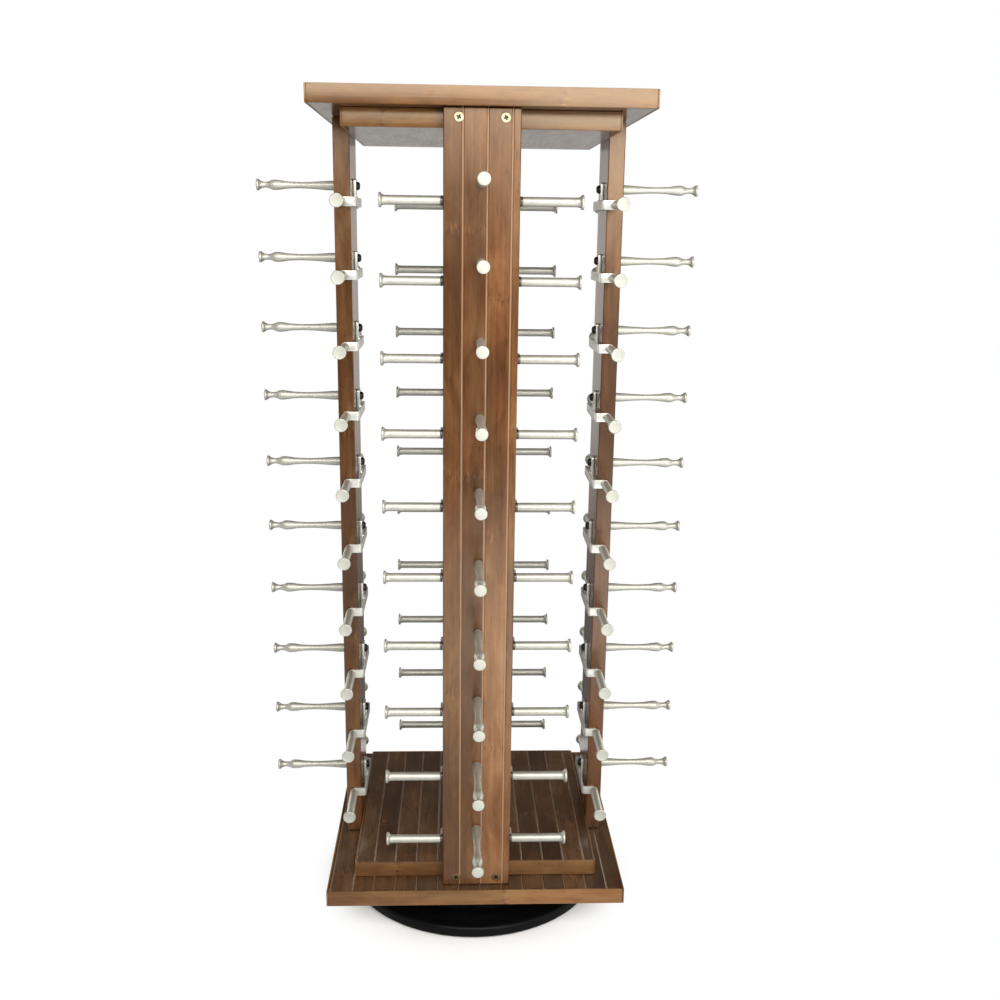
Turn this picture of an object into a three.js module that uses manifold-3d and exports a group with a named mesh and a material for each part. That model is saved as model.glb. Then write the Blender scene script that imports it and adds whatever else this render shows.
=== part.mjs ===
// Eyeglass display rack: a countertop wooden stand that turns on a round base.
// Four upright boards carry ten levels of metal hangers, one pair of glasses to
// a hanger.  Millimetres, +Z up; the front column faces -Y, the turntable's axis
// is the Z axis and the underside of the rubber feet is at z = 0.
import * as THREE from 'three';
import { mergeVertices } from 'three/addons/utils/BufferGeometryUtils.js';
import Module from 'manifold-3d';

// ---------------------------------------------------------------- dimensions
const GAP = 0.3;                 // clearance between separate pieces

// Timber
const STOCK = 15;                // every board is cut from 15 mm stock
const BOARD_Z = 45.5;            // underside of the base board
const BOARD_W = 282;             // base board and top board, square
const BLOCK_W = 231.4;           // base block and top block, square
const BLOCK_CLEAR = 672.3;       // height between the two blocks
const COLUMN_W = 63.2;
const COLUMN_IN = 116;           // inner face of a column, from the axis
const STRIP_W = 20.2;            // width of one laminated strip
const BOARD_SHIFT = 3.9;         // strip joint nearest the middle of a board
const COLUMN_SHIFT = -4.7;       // strip joint nearest the middle of a column
const GROOVE_W = 2;              // V groove along each strip joint
const GROOVE_D = 0.9;
const SCREW_X = 19;              // column screws, either side of the middle
const SCREW_END = 7.5;           // and this far from the column's end
const SCREW_R = 2.2;             // clearance hole
const SINK_R = 4.6;              // countersink
const SINK_D = 3;

// Hangers
const LEVELS = 10;
const PITCH = 65;
const TOP_LEVEL = 705.2;         // height of the uppermost nose peg
const NOSE_TIP = 204.8;          // end of a nose peg, from the axis
const NOSE_PROFILE = [           // distance back from the tip, and radius
  [0, 5.2], [2.6, 5.2],          // end disc
  [8.5, 2.5],                    // neck
  [16.5, 4.6],                   // bulge
  [40, 2.8],                     // waist
  [68, 4.3], [73.5, 4.3],        // root, against the column
];
const SIDE_DROP = 14.6;          // side pegs sit this far below the nose peg
const SIDE_TIP = 84.7;           // end of a side peg, from the column's middle
const SIDE_R = 3.9;
const SIDE_CAP_R = 6.1;          // flared end
const SIDE_CAP_T = 3.4;
const STRAP_T = 1.9;             // bracket strap, bent round the column
const STRAP_H = 8.2;
const TAB_T = 2.6;               // tab that the strap is welded to
const TAB_W = 12;
const TAB_TOP = 6.3;             // tab reaches this far above the nose peg
const STUD_R = 2.4;
const STUD_HOLE_R = 2.8;
const HEAD_R = 3.9;              // button head of the stud
const HEAD_H = 3.3;
const ROUND = 8;                 // sides on a peg
const BITE = 0.5;                // depth that joined pieces run into each other

// Turntable, measured up from the feet
const FOOT_R = 9;
const FOOT_H = 4;
const FOOT_CIRCLE = 112;         // radius on which the four feet sit
const FEET = 4;
const BASE_R = 131;              // fixed lower dish
const BASE_Z = 2;                // feet stand proud by this much
const RIM_Z = 13.3;              // top of its outer rim
const FLOOR_Z = 17;              // top of its raised floor
const SEAT_Z = 22;               // ring that carries the lower race
const RECESS_Z = 10;             // hollow moulded into its underside
const LAND_IN = 100;             // flat land under the rim, where the feet go
const HUB_R = 16;                // bosses round the pivot bolt
const HUB_Z = 26;                // top of the lower boss
const WALL = 4;                  // moulded wall thickness
const DISH_R = 113;              // turning upper dish
const SKIRT_Z = 20.5;            // lower edge of its skirt
const DISH_HUB_Z = 30;           // underside of the upper boss
const DISH_WEB_Z = 34;           // the pivot nut bears here
const NUT_POCKET_R = 12;
const TURNED = 28;               // sides on the two dishes
const RACE_IN = 56;
const RACE_OUT = 80;
const RACE_T = 2;                // pressed steel races
const SEAT_LIP = 3;              // seat wider than its race
const BALL_R = 2.7;
const BALLS = 6;
const CAGE_T = 1.6;
const CAGE_W = 14;
const BOLT_R = 4;                // pivot bolt
const BOLT_TOP = 42.5;
const HEAD_POCKET_R = 11;
const HEAD_POCKET_Z = 9;
const BOLT_HEAD_R = 8.5;
const BOLT_HEAD_H = 5;
const NUT_R = 7.8;
const NUT_H = 6;
const HEX = 6;

// Derived
const COLUMN_OUT = COLUMN_IN + STOCK;
const BLOCK_Z = BOARD_Z + STOCK + GAP;
const TOP_BLOCK_Z = BLOCK_Z + STOCK + BLOCK_CLEAR;
const TOP_BOARD_Z = TOP_BLOCK_Z + STOCK + GAP;
const COLUMN_Z0 = BLOCK_Z;
const COLUMN_Z1 = TOP_BOARD_Z - GAP;
const DISH_TOP = BOARD_Z - GAP;
const RACE_Z = SEAT_Z + GAP;
const BALL_Z = RACE_Z + RACE_T + GAP + BALL_R;
const UPPER_RACE_Z = BALL_Z + BALL_R + GAP;
const RACE_MID = (RACE_IN + RACE_OUT) / 2;

// ------------------------------------------------------------------ finishes
const COLUMN_WOOD = { color: 0x8a5f3c, metalness: 0, roughness: 0.5 };
const BOARD_WOOD = { color: 0x6f4c33, metalness: 0, roughness: 0.5 };
const BLACK_PLASTIC = { color: 0x101114, metalness: 0, roughness: 0.35 };
const RUBBER = { color: 0x1d1d1d, metalness: 0, roughness: 0.9 };
const STEEL = { color: 0xb4b6b8, metalness: 1, roughness: 0.35 };
const ZINC = { color: 0x9da1a5, metalness: 1, roughness: 0.4 };
const ALUMINIUM = { color: 0xd6d5cf, metalness: 1, roughness: 0.3 };

// ------------------------------------------------------------------- helpers
const wasm = await Module();
wasm.setup();

function toSolid(geometry) {
  const bare = geometry.clone();
  bare.deleteAttribute('normal');
  bare.deleteAttribute('uv');
  const merged = mergeVertices(bare, 1e-4);
  return new wasm.Manifold(new wasm.Mesh({
    numProp: 3,
    vertProperties: new Float32Array(merged.attributes.position.array),
    triVerts: new Uint32Array(merged.index.array),
  }));
}

function toGeometry(solid) {
  const mesh = solid.getMesh();
  const geometry = new THREE.BufferGeometry();
  const vertices = new Float32Array(mesh.vertProperties);
  geometry.setAttribute('position', new THREE.BufferAttribute(vertices, 3));
  geometry.setIndex(new THREE.BufferAttribute(new Uint32Array(mesh.triVerts), 1));
  geometry.computeVertexNormals();
  return geometry;
}

function join(...pieces) {
  return toGeometry(pieces.map(toSolid).reduce((sum, piece) => sum.add(piece)));
}

function cut(body, ...tools) {
  return toGeometry(tools.map(toSolid).reduce((left, tool) => left.subtract(tool), toSolid(body)));
}

function box(x0, x1, y0, y1, z0, z1) {
  const geometry = new THREE.BoxGeometry(x1 - x0, y1 - y0, z1 - z0);
  return geometry.translate((x0 + x1) / 2, (y0 + y1) / 2, (z0 + z1) / 2);
}

// [radius, height] pairs turned about the Z axis.
function turned(outline, segments) {
  const points = outline.map(([r, z]) => new THREE.Vector2(r, z));
  const geometry = new THREE.LatheGeometry(points, segments);
  return geometry.rotateX(Math.PI / 2);
}

// The same for an outline that stays clear of the axis: it closes on itself.
const turnedRing = (outline, segments) => turned([...outline, outline[0]], segments);

// Round or hexagonal bar along Z, a flat side facing +X.
function bar(radius, z0, z1, segments) {
  const geometry = turned([[0, z0], [radius, z0], [radius, z1], [0, z1]], segments);
  return geometry.rotateZ(Math.PI / segments);
}

// Lay a Z-axis piece along +Y or +X.
const alongY = (geometry) => geometry.rotateX(-Math.PI / 2);
const alongX = (geometry) => geometry.rotateY(Math.PI / 2);

// --------------------------------------------------------------------- boards
function stripJoints(width, shift) {
  const joints = [];
  const reach = Math.ceil(width / STRIP_W);
  for (let k = -reach; k <= reach; k += 1) {
    const x = shift + k * STRIP_W;
    if (Math.abs(x) < width / 2 - GROOVE_W) {
      joints.push(x);
    }
  }
  return joints;
}

// Board's cross-section, with a V groove in its upper edge at each strip joint.
function groovedSection(width, shift) {
  const shape = new THREE.Shape();
  shape.moveTo(-width / 2, STOCK);
  shape.lineTo(-width / 2, 0);
  shape.lineTo(width / 2, 0);
  shape.lineTo(width / 2, STOCK);
  for (const x of stripJoints(width, shift).reverse()) {
    shape.lineTo(x + GROOVE_W / 2, STOCK);
    shape.lineTo(x, STOCK - GROOVE_D);
    shape.lineTo(x - GROOVE_W / 2, STOCK);
  }
  return shape;
}

const extrude = (shape, depth) => new THREE.ExtrudeGeometry(shape, { depth, bevelEnabled: false });

// Square board lying flat, its grooves on top and running front to back.
function flatBoard(width) {
  const geometry = extrude(groovedSection(width, BOARD_SHIFT), width);
  return geometry.translate(0, 0, -width / 2).rotateX(Math.PI / 2);
}

const plainBoard = (width) => box(-width / 2, width / 2, -width / 2, width / 2, 0, STOCK);

// Column, drawn with its outer face towards +Y.
function column() {
  const section = groovedSection(COLUMN_W, COLUMN_SHIFT);
  const board = extrude(section, COLUMN_Z1 - COLUMN_Z0).translate(0, COLUMN_IN, COLUMN_Z0);
  const drills = [];
  for (let i = 0; i < LEVELS; i += 1) {
    const hole = alongY(bar(STUD_HOLE_R, COLUMN_IN - 1, COLUMN_OUT + 1, HEX));
    drills.push(hole.translate(0, 0, TOP_LEVEL - i * PITCH));
  }
  for (const z of [COLUMN_Z0 + SCREW_END, COLUMN_Z1 - SCREW_END]) {
    for (const x of [-SCREW_X, SCREW_X]) {
      const sunk = turned([
        [0, COLUMN_IN - 1], [SCREW_R, COLUMN_IN - 1], [SCREW_R, COLUMN_OUT - SINK_D],
        [SINK_R, COLUMN_OUT], [SINK_R, COLUMN_OUT + 1], [0, COLUMN_OUT + 1],
      ], ROUND);
      drills.push(alongY(sunk).translate(x, 0, z));
    }
  }
  return cut(board, ...drills);
}

// -------------------------------------------------------------------- hangers
function nosePeg() {
  const outline = NOSE_PROFILE.map(([back, r]) => [r, NOSE_TIP - back]).reverse();
  const root = outline[0][1];
  return alongY(turned([[0, root], ...outline, [0, NOSE_TIP]], ROUND));
}

function sidePeg(start, turn) {
  const outline = [
    [0, start], [SIDE_R, start], [SIDE_R, SIDE_TIP - SIDE_CAP_T],
    [SIDE_CAP_R, SIDE_TIP], [0, SIDE_TIP],
  ];
  const peg = alongX(turned(outline, ROUND)).rotateZ(turn);
  return peg.translate(0, COLUMN_IN + STOCK / 2, -SIDE_DROP);
}

// One level's hardware bolted up as a unit, level with its nose peg at z = 0:
// the nose peg, its stud through the column, the tab behind with the stud's
// button head, the strap welded to the tab with an ear bent round each edge of
// the column, and a side peg on each ear.
function hanger() {
  const face = COLUMN_IN - GAP;
  const weld = face - TAB_T;
  const back = weld - STRAP_T;
  const inside = COLUMN_W / 2 + GAP;
  const outside = inside + STRAP_T;
  const ear = COLUMN_IN + STOCK / 2 + SIDE_R;
  const strapTop = -SIDE_DROP + STRAP_H / 2;
  const strapLow = strapTop - STRAP_H;
  const edge = TAB_W / 2;
  const bend = new THREE.Shape([
    [-outside, back], [outside, back], [outside, ear], [inside, ear],
    [inside, weld], [-inside, weld], [-inside, ear], [-outside, ear],
  ].map(([x, y]) => new THREE.Vector2(x, y)));
  return join(
    extrude(bend, STRAP_H).translate(0, 0, strapLow),
    box(-edge, edge, weld, face, strapLow, TAB_TOP),
    box(BITE - edge, edge - BITE, weld - BITE, weld + BITE, strapLow + BITE, strapTop - BITE),
    alongY(bar(HEAD_R, weld - HEAD_H, weld + BITE, ROUND)),
    alongY(bar(STUD_R, weld + BITE, COLUMN_OUT + 1, HEX)),
    nosePeg(),
    sidePeg(outside - BITE, 0),
    sidePeg(outside - BITE, Math.PI),
  );
}

// ------------------------------------------------------------------ turntable
function foot(i, radius, height) {
  const angle = (i + 0.5) * 2 * Math.PI / FEET;
  const peg = bar(radius, 0, height, ROUND);
  return peg.translate(FOOT_CIRCLE * Math.cos(angle), FOOT_CIRCLE * Math.sin(angle), 0);
}

function turntableBase() {
  const dish = turnedRing([
    [HEAD_POCKET_R, BASE_Z], [HUB_R + WALL, BASE_Z], [HUB_R + 2 * WALL, RECESS_Z],
    [LAND_IN - 2, RECESS_Z], [LAND_IN, BASE_Z],
    [BASE_R - 1, BASE_Z], [BASE_R, BASE_Z + 1.5], [BASE_R - 0.8, RIM_Z - 2], [BASE_R - 3, RIM_Z],
    [DISH_R, FLOOR_Z], [RACE_OUT + SEAT_LIP + 1, FLOOR_Z], [RACE_OUT + SEAT_LIP, SEAT_Z],
    [RACE_IN - SEAT_LIP, SEAT_Z], [RACE_IN - SEAT_LIP - 2, RECESS_Z + WALL],
    [HUB_R + 1, RECESS_Z + WALL], [HUB_R, HUB_Z],
    [BOLT_R + GAP, HUB_Z], [BOLT_R + GAP, HEAD_POCKET_Z], [HEAD_POCKET_R, HEAD_POCKET_Z],
  ], TURNED);
  const pockets = [];
  for (let i = 0; i < FEET; i += 1) {
    pockets.push(foot(i, FOOT_R + GAP, FOOT_H + GAP));
  }
  return cut(dish, ...pockets);
}

function turntableDish() {
  const ceiling = DISH_TOP - WALL;
  const seat = UPPER_RACE_Z + RACE_T + GAP;
  return turnedRing([
    [BOLT_R + 2 * GAP, DISH_HUB_Z], [HUB_R, DISH_HUB_Z], [HUB_R + 1, ceiling],
    [RACE_IN - SEAT_LIP - 2, ceiling], [RACE_IN - SEAT_LIP, seat],
    [RACE_OUT + SEAT_LIP, seat], [RACE_OUT + SEAT_LIP + 2, ceiling],
    [DISH_R - WALL, ceiling], [DISH_R - WALL, SKIRT_Z], [DISH_R, SKIRT_Z],
    [DISH_R, DISH_TOP - 1], [DISH_R - 1, DISH_TOP], [NUT_POCKET_R, DISH_TOP],
    [NUT_POCKET_R, DISH_WEB_Z], [BOLT_R + 2 * GAP, DISH_WEB_Z],
  ], TURNED);
}

const ring = (inner, outer, z0, z1) =>
  turnedRing([[inner, z0], [outer, z0], [outer, z1], [inner, z1]], TURNED);

function ballCage() {
  const plate = ring(
    RACE_MID - CAGE_W / 2, RACE_MID + CAGE_W / 2, BALL_Z - CAGE_T / 2, BALL_Z + CAGE_T / 2,
  );
  const balls = [];
  for (let i = 0; i < BALLS; i += 1) {
    const angle = i * 2 * Math.PI / BALLS;
    const ball = new THREE.SphereGeometry(BALL_R, HEX, 4).rotateX(Math.PI / 2);
    balls.push(ball.translate(RACE_MID * Math.cos(angle), RACE_MID * Math.sin(angle), BALL_Z));
  }
  return join(plate, ...balls);
}

function pivotBolt() {
  const top = HEAD_POCKET_Z - GAP;
  return join(
    bar(BOLT_HEAD_R, top - BOLT_HEAD_H, top, HEX),
    bar(BOLT_R, top - BITE, BOLT_TOP, ROUND),
  );
}

function pivotNut() {
  const z = DISH_WEB_Z + GAP;
  return cut(bar(NUT_R, z, z + NUT_H, HEX), bar(BOLT_R + GAP, z - 1, z + NUT_H + 1, ROUND));
}

// ------------------------------------------------------------------- assembly
function named(name, geometry, finish) {
  const mesh = new THREE.Mesh(geometry, new THREE.MeshStandardMaterial(finish));
  mesh.name = name;
  return mesh;
}

function raised(mesh, z) {
  mesh.position.z = z;
  return mesh;
}

const turntable = new THREE.Group();
for (let i = 0; i < FEET; i += 1) {
  turntable.add(named(`rubber_foot_${i + 1}`, foot(i, FOOT_R, FOOT_H), RUBBER));
}
turntable.add(
  named('turntable_base', turntableBase(), BLACK_PLASTIC),
  named('bearing_lower_race', ring(RACE_IN, RACE_OUT, RACE_Z, RACE_Z + RACE_T), STEEL),
  named('bearing_ball_cage', ballCage(), STEEL),
  named('bearing_upper_race', ring(RACE_IN, RACE_OUT, UPPER_RACE_Z, UPPER_RACE_Z + RACE_T), STEEL),
  named('pivot_bolt', pivotBolt(), ZINC),
  named('pivot_nut', pivotNut(), ZINC),
  named('turntable_dish', turntableDish(), BLACK_PLASTIC),
);

const boards = new THREE.Group();
boards.add(
  raised(named('base_board', flatBoard(BOARD_W), BOARD_WOOD), BOARD_Z),
  raised(named('base_block', flatBoard(BLOCK_W), BOARD_WOOD), BLOCK_Z),
  raised(named('top_block', plainBoard(BLOCK_W), BOARD_WOOD), TOP_BLOCK_Z),
  raised(named('top_board', flatBoard(BOARD_W), BOARD_WOOD), TOP_BOARD_Z),
);

// Each side is drawn facing +Y and its group is turned to face its own way.
const SIDES = { front: Math.PI, right: -Math.PI / 2, back: 0, left: Math.PI / 2 };
const columnShape = column();
const hangerShape = hanger();
const uprights = new THREE.Group();
for (const [side, turn] of Object.entries(SIDES)) {
  const upright = new THREE.Group();
  upright.rotation.z = turn;
  upright.add(named(`column_${side}`, columnShape, COLUMN_WOOD));
  for (let i = 0; i < LEVELS; i += 1) {
    const name = `hanger_${side}_${String(i + 1).padStart(2, '0')}`;
    upright.add(raised(named(name, hangerShape, ALUMINIUM), TOP_LEVEL - i * PITCH));
  }
  uprights.add(upright);
}

const rack = new THREE.Group();
rack.add(turntable, boards, uprights);

export default rack;
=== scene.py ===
"""Looks of the eyeglass display rack: stained strip-wood boards, satin aluminium
pegs on bent steel straps, brass screws and a black turntable, built round the
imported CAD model. Metres, +Z up, the front column faces -Y."""
import math

import bmesh
import bpy
from mathutils import Matrix, Vector


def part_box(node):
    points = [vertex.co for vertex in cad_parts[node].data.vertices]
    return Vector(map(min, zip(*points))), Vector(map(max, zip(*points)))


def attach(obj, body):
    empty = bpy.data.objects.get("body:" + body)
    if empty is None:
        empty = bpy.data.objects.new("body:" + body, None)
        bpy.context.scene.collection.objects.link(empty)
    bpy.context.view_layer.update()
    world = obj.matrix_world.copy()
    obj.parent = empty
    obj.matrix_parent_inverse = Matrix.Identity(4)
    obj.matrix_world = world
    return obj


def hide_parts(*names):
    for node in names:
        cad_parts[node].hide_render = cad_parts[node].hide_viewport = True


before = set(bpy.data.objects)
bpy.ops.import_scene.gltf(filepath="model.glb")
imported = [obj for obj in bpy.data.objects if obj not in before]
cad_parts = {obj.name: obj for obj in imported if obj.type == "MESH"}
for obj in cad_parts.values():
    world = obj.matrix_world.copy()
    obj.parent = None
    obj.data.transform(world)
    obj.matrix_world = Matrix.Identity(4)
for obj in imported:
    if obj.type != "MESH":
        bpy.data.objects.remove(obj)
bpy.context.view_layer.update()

MM = 0.001

# Timber sizes that the boxes of the CAD nodes don't give
STRIP = 20.2 * MM            # laminated strip
BOARD_SHIFT = 3.9 * MM       # strip joint nearest a board's middle
COLUMN_SHIFT = -4.7 * MM     # strip joint nearest a column's middle
GROOVE_W = 1.9 * MM
GROOVE_D = 0.7 * MM
GROOVE_LIP = 0.18 * MM       # drop of a groove's rounded shoulder
CHAMFER = 0.8 * MM           # on the edges of columns and boards
KNUCKLE = 205 * MM           # between two nodes of a bamboo strip
LIPPING = 1.6 * MM           # solid edge band round the flat boards
LIPPING_GAP = 0.08 * MM      # at the corners, where two bands butt
SCREW_X = 19 * MM            # column screws, either side of the middle
SCREW_END = 7.5 * MM
SCREW_HEAD = 4.05 * MM       # radius
SCREW_SUNK = 0.35 * MM       # heads sit this far below the column's face
SCREW_R = 1.9 * MM
SCREW_STEP = 37              # degrees that each screw is turned on from the last
HOLE_R = 2.2 * MM
HOLE_D = 6 * MM
SINK_R = 4.25 * MM
SINK_D = 3 * MM
SIDES = {"front": 180, "right": -90, "back": 0, "left": 90}     # degrees from +Y
COLUMN_SEEDS = {"front": 7.7, "right": 2.22, "back": 3.1, "left": 56.89}

# Hanger hardware, measured from its nose peg and from the column
LEVELS = 10
TAB_T = 2.6 * MM
TAB_W = 12 * MM
TAB_TOP = 6.3 * MM
STRAP_T = 1.9 * MM
STRAP_H = 8.2 * MM
SIDE_DROP = 14.6 * MM        # side pegs below the nose peg
SIDE_R = 3.9 * MM
STUD_R = 2.35 * MM
THREAD_PITCH = 0.8 * MM
THREAD_D = 0.35 * MM
GAP = 0.3 * MM

# Turntable, heights from the counter
RIM_Z = 13.3 * MM            # top of the fixed base's rim
FLOOR_Z = 17 * MM            # top of its raised floor
SEAT_Z = 22 * MM             # seat of the lower race
RECESS_Z = 10 * MM           # hollow in its underside
LAND_IN = 100 * MM           # flat land under the rim
POCKET_Z = 9 * MM            # the bolt's head sits in a pocket this high
POCKET_R = 11 * MM
HUB_R = 16 * MM
HUB_Z = 26 * MM              # top of the lower boss
BORE_R = 4.3 * MM
WALL = 4 * MM
SKIRT_Z = 20.5 * MM          # lower edge of the dish's skirt
DISH_HUB_Z = 30 * MM         # underside of the upper boss
DISH_SEAT_Z = 32.9 * MM      # seat of the upper race
DISH_WEB_Z = 34 * MM         # the pivot nut bears here
DISH_BORE_R = 4.6 * MM
NUT_POCKET_R = 12 * MM
SEAT_IN = 53 * MM            # both seats are rings between these radii
SEAT_OUT = 83 * MM
FEET = 4
FOOT_FIT = 0.97              # a foot's share of the width of its node's box

# Studio
CAMERA_AT = (-0.0211, -1.0629, 0.6700)
CAMERA_TURN = (-0.0421, -0.2429, 0.0135)                        # yaw, pitch, roll in radians
LENS = 39.64                 # millimetres
SENSOR = 36
FLOOR_HALF = 6
FLOOR_FRONT = -1.7
FLOOR_BACK = 0.3
FLOOR_FADE = (0.115, 0.175)  # from paper to plain white, away from the axis
POOL_Y = (-0.85, -0.35)      # the paper's painted glow fades out towards the stand
POOL_X = (-0.16, 0.14)       # and comes up from left to right
FLOOR_GLOW = 3.4            # glow painted on the paper in front and to the right, lighting the stand from below
ROOM_LIGHT = (0.10, 0.38)    # level with the stand, overhead
ROOM_TINT = (1.0, 0.975, 0.93, 1)
SWEEP_LIGHT = 0.75
LAMP_TINT = (1.0, 0.975, 0.925)
LAMPS = {                    # place, aim, width, height, power in watts
    "key_right": ((0.85, -1.35, 0.60), (0, 0, 0.50), 1.5, 1.1, 6),
    "top_front": ((0.05, -1.45, 1.24), (0, 0, 0.76), 1.5, 0.75, 33),
    "high_right": ((0.52, -1.40, 0.78), (0, 0, 0.66), 0.8, 0.20, 4),
    "overhead": ((0.0, -0.3, 2.4), (0, 0, 0.4), 1.6, 1.6, 9),
    "left": ((-2.3, -1.2, 1.1), (0, 0, 0.4), 1.2, 1.6, 6),
    "right": ((2.3, -0.9, 0.9), (0, 0, 0.4), 1.2, 1.4, 10),
    "back_right": ((1.7, 1.5, 0.75), (0, 0, 0.4), 1.4, 1.4, 24),
    "back_left": ((-1.7, 1.5, 0.75), (0, 0, 0.4), 1.4, 1.4, 24),
}


# ------------------------------------------------------------- node helpers
class Shader:
    """A material's node tree, with short calls for the nodes used here."""

    def __init__(self, name):
        self.material = bpy.data.materials.new(name)
        self.material.use_nodes = True
        self.tree = self.material.node_tree
        self.surface = self.tree.nodes["Principled BSDF"]

    def node(self, kind, **settings):
        made = self.tree.nodes.new("ShaderNode" + kind)
        for key, value in settings.items():
            setattr(made, key, value)
        return made

    def link(self, source, target):
        self.tree.links.new(source, target)

    def feed(self, socket, value):
        """Links an output to socket, or sets a plain value on it."""
        if isinstance(value, bpy.types.NodeSocket):
            self.link(value, socket)
        else:
            socket.default_value = value

    def math(self, operation, a, b=0.0, clamp=False):
        made = self.node("Math", operation=operation, use_clamp=clamp)
        self.feed(made.inputs[0], a)
        self.feed(made.inputs[1], b)
        return made.outputs[0]

    def remap(self, value, low, high, to_low=0.0, to_high=1.0):
        made = self.node("MapRange", interpolation_type="SMOOTHSTEP")
        self.feed(made.inputs["Value"], value)
        for name, number in (("From Min", low), ("From Max", high),
                             ("To Min", to_low), ("To Max", to_high)):
            made.inputs[name].default_value = number
        return made.outputs["Result"]

    def noise(self, vector, scale, detail=3.0, roughness=0.5, distortion=0.0):
        made = self.node("TexNoise")
        self.feed(made.inputs["Vector"], vector)
        made.inputs["Scale"].default_value = scale
        made.inputs["Detail"].default_value = detail
        made.inputs["Roughness"].default_value = roughness
        made.inputs["Distortion"].default_value = distortion
        return made.outputs["Fac"]

    def stretch(self, vector, scale, offset=(0, 0, 0)):
        made = self.node("Mapping")
        self.feed(made.inputs["Vector"], vector)
        made.inputs["Scale"].default_value = scale
        made.inputs["Location"].default_value = offset
        return made.outputs["Vector"]

    def ramp(self, value, stops):
        made = self.node("ValToRGB")
        self.feed(made.inputs["Fac"], value)
        band = made.color_ramp
        while len(band.elements) < len(stops):
            band.elements.new(0.5)
        for element, (spot, colour) in zip(band.elements, stops):
            element.position = spot
            element.color = (*colour, 1.0)
        return made.outputs["Color"]

    def mix(self, factor, a, b, blend="MIX"):
        made = self.node("Mix", data_type="RGBA", blend_type=blend)
        self.feed(made.inputs["Factor"], factor)
        for socket, value in ((made.inputs["A"], a), (made.inputs["B"], b)):
            self.feed(socket, (*value, 1.0) if isinstance(value, tuple) else value)
        return made.outputs["Result"]

    def bump(self, height, distance, strength):
        made = self.node("Bump")
        self.feed(made.inputs["Height"], height)
        made.inputs["Distance"].default_value = distance
        made.inputs["Strength"].default_value = strength
        return made.outputs["Normal"]

    def set(self, **values):
        """Principled sockets by name, with _ for a space."""
        for name, value in values.items():
            self.feed(self.surface.inputs[name.replace("_", " ")], value)
        return self.material


# ---------------------------------------------------------------- materials
WOOD_TONES = {
    "column": [(0.10, (0.038, 0.012, 0.003)), (0.32, (0.066, 0.023, 0.006)),
               (0.50, (0.096, 0.038, 0.012)), (0.70, (0.142, 0.067, 0.025)),
               (0.94, (0.212, 0.119, 0.057))],
    "board": [(0.10, (0.026, 0.010, 0.004)), (0.32, (0.045, 0.020, 0.008)),
              (0.50, (0.067, 0.032, 0.014)), (0.70, (0.100, 0.052, 0.025)),
              (0.94, (0.160, 0.093, 0.051))],
    # Painted light and shade: the edge tones are painted lighter for the lit top boards, and the base
    # boards get a darker copy.
    "base_edge": [(0.10, (0.075, 0.029, 0.008)), (0.32, (0.112, 0.048, 0.014)),
                  (0.50, (0.148, 0.070, 0.024)), (0.70, (0.190, 0.098, 0.038)),
                  (0.94, (0.250, 0.142, 0.066))],
    "edge": [(0.10, (0.070, 0.028, 0.007)), (0.32, (0.108, 0.049, 0.014)),
             (0.50, (0.147, 0.073, 0.024)), (0.70, (0.200, 0.109, 0.043)),
             (0.94, (0.285, 0.172, 0.082))],
}
# Groove colours: partly bare wood, partly a painted highlight on the groove walls.
GROOVE_TONES = {"column": (0.28, 0.170, 0.102), "board": (0.150, 0.095, 0.062)}
# Dark stain for seams and node strokes, also used as painted shadow beside the grooves.
STAIN_AND_SHADE = (0.036, 0.012, 0.005)
AMBER = (0.26, 0.125, 0.046)
LACQUER = (1.0, 0.83, 0.64, 1.0)        # tints what the lacquer reflects
SATIN = (0.42, 0.418, 0.370)            # metals
FACED = (0.395, 0.400, 0.355)
NICKEL = (0.56, 0.56, 0.52)
# Painted shade: near-black for the ears' round ends, standing in for the shade in the recess beside the
# column
EAR_END_SHADE = (0.09, 0.08, 0.075)
ZINC = (0.62, 0.63, 0.65)
PIVOT_ZINC = (0.58, 0.60, 0.63)
GROUND_STEEL = (0.66, 0.66, 0.67)
BRASS = (0.46, 0.38, 0.26)
# Darker brass for the screws at the columns' lower ends.
DARKER_LOWER_BRASS = (0.17, 0.105, 0.052)


def strips(s, across, shift, seed):
    """Number that tells the strips apart, and the distance from the nearest joint."""
    if shift is None:
        return seed, None
    counted = s.math("DIVIDE", s.math("SUBTRACT", across, shift), STRIP)
    inside = s.math("FRACT", counted)
    nearest = s.math("MINIMUM", inside, s.math("SUBTRACT", 1.0, inside))
    return s.math("ADD", s.math("FLOOR", counted), seed), s.math("MULTIPLY", nearest, STRIP)


def chance(s, number):
    """A random value from 0 to 1 that stays the same for the same number."""
    made = s.node("TexWhiteNoise", noise_dimensions="1D")
    s.feed(made.inputs["W"], number)
    return made.outputs["Value"]


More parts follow.
